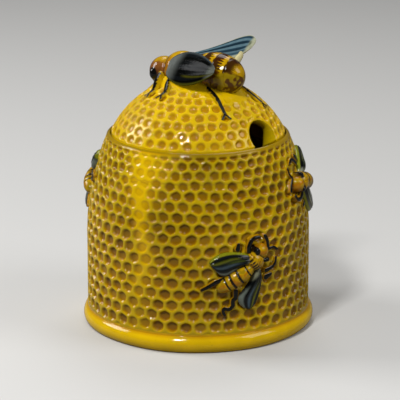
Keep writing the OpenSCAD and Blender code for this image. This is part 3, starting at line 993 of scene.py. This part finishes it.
def relief(a, b):
    """Height out of the wall and colour of a bee, without its wings."""
    head = cap_height(a, b, SMALL_HEAD_AT, SMALL_HEAD)
    chest = cap_height(a, b, SMALL_CHEST_AT, SMALL_CHEST)
    turned_a = (a - TAIL_AT[0]) * math.cos(TAIL_TURN) + (b - TAIL_AT[1]) * math.sin(TAIL_TURN)
    turned_b = (b - TAIL_AT[1]) * math.cos(TAIL_TURN) - (a - TAIL_AT[0]) * math.sin(TAIL_TURN)
    tail = cap_height(turned_a, turned_b, (0, 0), SMALL_TAIL)
    place = np.stack([a, b, 0 * a], -1)
    blotch = noise3(place, 4.0, 81)
    fine = noise3(place, 1.3, 82)
    # Bands of the abdomen, each with teeth on its hind side
    along = turned_a + TAIL_AT[0] - 0.05 * turned_b ** 2
    warm = smooth(0.3, 1.0, blotch + 0.3 * fine) * smooth(3.2, 1, np.abs(turned_b))
    body = mix(YELLOW, ORANGE, 0.7 * warm)
    body = mix(body, OLIVE, 0.45 * smooth(-0.2, -0.8, blotch))
    for at, half, bite in STRIPES:
        gap = along - at
        low = half + bite * teeth(turned_b / TOOTH_STEP)
        rim = np.where(gap < 0, -gap / low, gap / half)
        body = mix(body, tint(22, 14, 6), smooth(1.25, 0.8, rim))
        tail = np.where(tail > 0.3, tail - 0.28 * np.exp(-(gap / 0.45) ** 2), tail)
    body = mix(body, OLIVE, 0.3 * smooth(-17.5, -20, along))
    body = mix(body, BROWN, 0.8 * smooth(0.72, 0.98, np.abs(turned_b) / SMALL_TAIL[1]) * (along < -3))
    height = np.maximum(np.maximum(head, chest), tail)
    collar = mix(YELLOW, OCHRE, smooth(0.4, 1.0, fine))
    hatch = smooth(0.35, 0.6, teeth(b / HATCH_STEP + 0.2)) * smooth(0.5 + 0.9 * fine, -1.2, a)
    hatch = hatch * smooth(-3.6, -2.8, a)
    collar = mix(collar, INK, hatch)
    colour = mix(body, collar, smooth(-3.8, -3.0, a))
    face = mix(YELLOW, ORANGE, 0.7 * smooth(0.0, 1.0, blotch))
    face = mix(face, RUST, 0.7 * smooth(2.0, 3.6, np.abs(b - 0.4)))
    colour = mix(colour, face, (head > chest) * (a > 1))
    neck = smooth(0.75, 0.2, np.abs(head - chest)) * (a > 1) * (a < 5)
    colour = mix(colour, tint(30, 20, 8), neck)
    da, db = a - SMALL_EYE_AT[0], np.abs(b + 0.3) - SMALL_EYE_AT[1]
    eye = ((da + db) / 1.41 / SMALL_EYE[0]) ** 2 + ((da - db) / 1.41 / SMALL_EYE[1]) ** 2
    colour = mix(colour, INK, smooth(1.25, 0.8, eye))
    height = np.where(eye < 1.3, np.maximum(height, SMALL_EYE[2] + 1.2 * smooth(1.3, 0.2, eye)), height)
    for stops, r, rise in STROKES:
        d, k = stroke_gap(a, b, stops)
        width = r * (1 - THINNING * k)
        clay = width * CLAY_SHARE
        lift = np.where(d < clay, rise * np.sqrt(np.clip(1 - (d / clay) ** 2, 0, 1)) - 0.05, SUNK)
        shows = lift > height
        ink = smooth(1.4, 1.15, d / width)
        colour = np.where(shows[..., None], mix(mix(OCHRE, YELLOW, 0.5 + 0 * d), INK, ink), colour)
        height = np.maximum(height, lift)
    return height, colour


def paint_small_wing(t, s, seed):
    """Black, olive and blue strokes between a green outer rim and a pale inner one."""
    olive = np.exp(-((s - 0.42 + 0.12 * t) / 0.11) ** 2) * smooth(0.22, 0.4, t)
    blue = np.exp(-((s + 0.12) / 0.13) ** 2) * smooth(0.22, 0.42, t) * smooth(0.98, 0.8, t)
    green = np.exp(-((s - 0.1) / 0.12) ** 2) * smooth(0.15, 0.25, t) * smooth(0.6, 0.4, t)
    pale = smooth(-0.52, -0.74, s) * smooth(0.25, 0.45, t) * smooth(1.0, 0.85, t)
    root = smooth(0.17, 0.06, t + 0.05 * s) * (1 - 0.6 * np.exp(-((s - 0.1) / 0.14) ** 2))
    return painted(tint(4, 7, 6),
                   (tint(16, 22, 24), streaks(t, s, seed, 4)),
                   (tint(96, 100, 14), olive),
                   (tint(72, 90, 100), 0.85 * blue),
                   (tint(56, 66, 20), green),
                   (tint(134, 136, 18), smooth(0.74, 0.88, s + 0.1 * smooth(0.7, 1, t))),
                   (tint(104, 112, 102), pale),
                   (tint(120, 122, 24), smooth(0.93, 0.99, t)),
                   (tint(126, 128, 104), root))


def build_relief_bee(name, bee):
    a = np.arange(*GRID_A, GRID)
    b = np.arange(*GRID_B, GRID)
    a, b = np.meshgrid(a, b, indexing="ij")
    height, colour = relief(a, b)
    height = np.clip(height, SUNK, None)
    keep = height > SUNK + 0.4
    # Two rings of points round the bee dip under the glaze
    for _ in range(2):
        wide = keep.copy()
        wide[1:] |= keep[:-1]
        wide[:-1] |= keep[1:]
        wide[:, 1:] |= keep[:, :-1]
        wide[:, :-1] |= keep[:, 1:]
        keep = wide
    rows, columns = a.shape
    quads = keep[:-1, :-1] & keep[1:, :-1] & keep[1:, 1:] & keep[:-1, 1:]
    top = wall_points(bee, a, b, height)
    low = wall_points(bee, a, b, np.full(a.shape, SUNK - 0.5))
    number = np.arange(rows * columns).reshape(rows, columns)
    count = rows * columns
    i, j = np.nonzero(quads)
    corners = np.stack([number[i, j], number[i + 1, j], number[i + 1, j + 1], number[i, j + 1]], -1)
    faces = [corners, corners[:, ::-1] + count]
    padded = np.pad(quads, 1)
    for di, dj, p, q in ((-1, 0, 3, 0), (1, 0, 1, 2), (0, -1, 0, 1), (0, 1, 2, 3)):
        edge = ~padded[i + 1 + di, j + 1 + dj]
        start, end = corners[edge, p], corners[edge, q]
        faces.append(np.stack([end, start, start + count, end + count], -1))
    faces = np.concatenate(faces)
    used, faces = np.unique(faces, return_inverse=True)
    faces = faces.reshape(-1, 4)
    points = np.concatenate([top.reshape(-1, 3), low.reshape(-1, 3)])[used]
    colours = np.concatenate([colour.reshape(-1, 3), colour.reshape(-1, 3)])[used]
    shape = ([points], [colours], faces.tolist())
    for edges, flip, seed in ((LEFT_WING, False, 91), (RIGHT_WING, True, 92)):
        rings, paint = small_wing(bee, edges, seed)
        if flip:
            rings, paint = rings[:, ::-1], paint[:, ::-1]
        add_rings(shape, rings, paint)
    return painted_piece(name, shape)


# Glazes

def glaze_base(name, roughness=0.28, coat=1.0):
    material = bpy.data.materials.new(name)
    material.use_nodes = True
    shader = material.node_tree.nodes["Principled BSDF"]
    shader.inputs["Roughness"].default_value = roughness
    shader.inputs["Coat Weight"].default_value = coat
    shader.inputs["Coat Roughness"].default_value = 0.04
    shader.inputs["Coat IOR"].default_value = 1.36
    shader.inputs["Specular IOR Level"].default_value = 0.0
    return material, material.node_tree, shader


def noise_node(tree, scale, detail=3.0, rough=0.55):
    place = tree.nodes.new("ShaderNodeTexCoord")
    noise = tree.nodes.new("ShaderNodeTexNoise")
    noise.inputs["Scale"].default_value = scale
    noise.inputs["Detail"].default_value = detail
    noise.inputs["Roughness"].default_value = rough
    tree.links.new(place.outputs["Object"], noise.inputs["Vector"])
    return noise.outputs["Fac"]


def ramp_node(tree, source, stops):
    ramp = tree.nodes.new("ShaderNodeValToRGB")
    bar = ramp.color_ramp
    while len(bar.elements) < len(stops):
        bar.elements.new(0.5)
    for element, (at, colour) in zip(bar.elements, stops):
        element.position = at
        element.color = (*colour, 1)
    tree.links.new(source, ramp.inputs["Fac"])
    return ramp.outputs["Color"]


def grey(value):
    return (value, value, value)


def mix_colours(tree, fac, a, b, blend="MIX"):
    node = tree.nodes.new("ShaderNodeMix")
    node.data_type = "RGBA"
    node.blend_type = blend
    sockets = [s for s in node.inputs if s.type == "RGBA"]
    factor = node.inputs["Factor"]
    for socket, value in ((factor, fac), (sockets[0], a), (sockets[1], b)):
        if hasattr(value, "is_linked"):
            tree.links.new(value, socket)
        elif isinstance(value, (int, float)):
            socket.default_value = value
        else:
            socket.default_value = (*value, 1)
    return [s for s in node.outputs if s.type == "RGBA"][0]


def attribute(tree, name, output="Fac"):
    node = tree.nodes.new("ShaderNodeAttribute")
    node.attribute_name = name
    return node.outputs[output]


def bump(tree, shader, height, distance, strength=0.4):
    node = tree.nodes.new("ShaderNodeBump")
    node.inputs["Distance"].default_value = distance
    node.inputs["Strength"].default_value = strength
    tree.links.new(height, node.inputs["Height"])
    tree.links.new(node.outputs["Normal"], shader.inputs["Normal"])
    tree.links.new(node.outputs["Normal"], shader.inputs["Coat Normal"])


def honey_glaze():
    material, tree, shader = glaze_base("honey_glaze")
    pool = attribute(tree, "pool")
    cell_shading = attribute(tree, "cell_shading")
    smear = attribute(tree, "smear")
    # Painted shade: the first ramp is the darker, olive colour of the upper part of each cell, the second
    # the lighter, warmer colour of its lower part
    high = ramp_node(tree, pool, [
        (0.0, tint(196, 166, 4)), (0.25, tint(180, 148, 3)),
        (0.6, tint(152, 120, 2)), (1.0, tint(116, 90, 1))])
    low = ramp_node(tree, pool, [
        (0.0, tint(204, 168, 4)), (0.25, tint(190, 146, 3)),
        (0.6, tint(176, 126, 2)), (1.0, tint(156, 100, 1))])
    warm = mix_colours(tree, cell_shading, high, low)
    deep = mix_colours(tree, 1.0, warm, (0.74, 0.76, 0.5), "MULTIPLY")
    slow = ramp_node(tree, noise_node(tree, 22), [(0.42, grey(0)), (0.66, grey(1))])
    colour = mix_colours(tree, slow, warm, deep)
    bright = ramp_node(tree, pool, [
        (0.0, tint(234, 190, 4)), (0.5, tint(204, 152, 3)), (1.0, tint(172, 116, 2))])
    colour = mix_colours(tree, smear, colour, bright)
    cloud = ramp_node(tree, noise_node(tree, 95, 4), [(0.35, grey(0.8)), (0.65, grey(1))])
    colour = mix_colours(tree, 0.6, colour, cloud, "MULTIPLY")
    specks = ramp_node(tree, noise_node(tree, 900, 2), [(0.70, grey(1)), (0.76, grey(0.45))])
    colour = mix_colours(tree, 0.5, colour, specks, "MULTIPLY")
    tree.links.new(colour, shader.inputs["Base Color"])
    bump(tree, shader, noise_node(tree, 260, 3), 0.0004, 0.22)
    return material


def painted_glaze(name, coat=1.0, blur=0.04):
    material, tree, shader = glaze_base(name, 0.3, coat)
    shader.inputs["Coat Roughness"].default_value = blur
    paint = attribute(tree, "paint", "Color")
    cloud = ramp_node(tree, noise_node(tree, 420, 4), [(0.3, grey(0.62)), (0.66, grey(1))])
    colour = mix_colours(tree, 0.7, paint, cloud, "MULTIPLY")
    tree.links.new(colour, shader.inputs["Base Color"])
    bump(tree, shader, noise_node(tree, 700, 3), 0.0003, 0.25)
    return material


honey = honey_glaze()
bee_paint = painted_glaze("bee_paint")
wing_paint = painted_glaze("wing_paint", 0.16, 0.16)
relief_paint = painted_glaze("relief_paint")

# Camera at the view of the photograph, then floor and lamps

PHOTO_W = 400
FOCAL_PIXELS = 2462
SENSOR_W = 36
scene = bpy.context.scene
camera_data = bpy.data.cameras.new("camera")
camera_data.sensor_width = SENSOR_W
camera_data.lens = FOCAL_PIXELS / PHOTO_W * SENSOR_W
camera_data.clip_end = 20
camera = bpy.data.objects.new("camera", camera_data)
camera.location = (-0.861, -0.685, 0.3762)
aim = Vector((0.00055, -0.00069, 0.0567))
camera.rotation_euler = (aim - camera.location).to_track_quat("-Z", "Y").to_euler()
scene.collection.objects.link(camera)
scene.camera = camera
scene.view_settings.view_transform = "Standard"


def lamp(name, turn, height, distance, size, watts):
    """A square lamp at an angle from the camera's side, aimed at the middle of the pot."""
    data = bpy.data.lights.new(name, "AREA")
    data.size = size
    data.energy = watts
    lamp_object = bpy.data.objects.new(name, data)
    a = math.atan2(camera.location.y, camera.location.x) + math.radians(turn)
    e = math.radians(height)
    middle = Vector((0, 0, 0.06))
    way = Vector((math.cos(a) * math.cos(e), math.sin(a) * math.cos(e), math.sin(e)))
    lamp_object.location = middle + distance * way
    lamp_object.rotation_euler = (middle - lamp_object.location).to_track_quat("-Z", "Y").to_euler()
    scene.collection.objects.link(lamp_object)


lamp("key", -22, 50, 0.9, 0.13, 5.2)
lamp("left", -104, 32, 1.0, 0.42, 6.0)
lamp("right", 70, 38, 1.0, 0.5, 3.2)
lamp("back", 170, 55, 1.0, 0.5, 2.6)

world = bpy.data.worlds.new("studio")
scene.world = world
world.use_nodes = True
SEEN = 0.80
AROUND = 0.09
FLOOR_REACH = 6.0
FLOOR_DROP = 0.0002
FLOOR_SEEN = (0.60, 0.595, 0.58)
FLOOR_AROUND = (0.25, 0.24, 0.22)


def for_camera(tree, seen, around):
    """A value that is one thing for the camera and another for the light in the room."""
    path = tree.nodes.new("ShaderNodeLightPath")
    return mix_colours(tree, path.outputs["Is Camera Ray"], around, seen)


sky = world.node_tree.nodes["Background"]
world.node_tree.links.new(for_camera(world.node_tree, grey(SEEN), grey(AROUND)), sky.inputs["Color"])
sky.inputs["Strength"].default_value = 1.0

floor_mesh = bpy.data.meshes.new("floor")
floor_corners = [(x * FLOOR_REACH, y * FLOOR_REACH, 0) for x, y in ((-1, -1), (1, -1), (1, 1), (-1, 1))]
floor_mesh.from_pydata(floor_corners, [], [(0, 1, 2, 3)])
floor = bpy.data.objects.new("floor", floor_mesh)
floor.location.z = -FLOOR_DROP
scene.collection.objects.link(floor)
floor_material = bpy.data.materials.new("floor")
floor_material.use_nodes = True
floor_tree = floor_material.node_tree
floor_shader = floor_tree.nodes["Principled BSDF"]
floor_tree.links.new(for_camera(floor_tree, FLOOR_SEEN, FLOOR_AROUND), floor_shader.inputs["Base Color"])
floor_shader.inputs["Roughness"].default_value = 0.7
floor_mesh.materials.append(floor_material)

LOW_HEADING = 45
HIGH_HEADING = 172
pieces = [
    (build_pot(), "pot", "honey_glaze", "pot", honey),
    (build_lid(), "lid", "honey_glaze", "lid", honey),
    (build_bee_body(), "bee_body", "bee_glaze", "lid", bee_paint),
    (build_knob_wing("bee_wing_left_glazed", DOWN_WING, True, paint_down_wing),
     "bee_wing_left", "wing_glaze", "lid", wing_paint),
    (build_knob_wing("bee_wing_right_glazed", UP_WING, False, paint_up_wing, wing_prop()),
     "bee_wing_right", "wing_glaze", "lid", wing_paint),
    (build_bee_legs(), "bee_legs", "leg_glaze", "lid", bee_paint),
]
for name, bee in (("front", (-23, 42, LOW_HEADING)), ("right", (21, 69.5, HIGH_HEADING)),
                  ("back", (157, 42, LOW_HEADING)), ("left", (195, 67, HIGH_HEADING))):
    node = "wall_bee_" + name
    pieces.append((build_relief_bee(node + "_glazed", bee), node, "relief_glaze", "pot", relief_paint))
for piece, node, slot, body, material in pieces:
    piece.data.materials.clear()
    piece.data.materials.append(material)
    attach(piece, body)
    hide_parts(node)
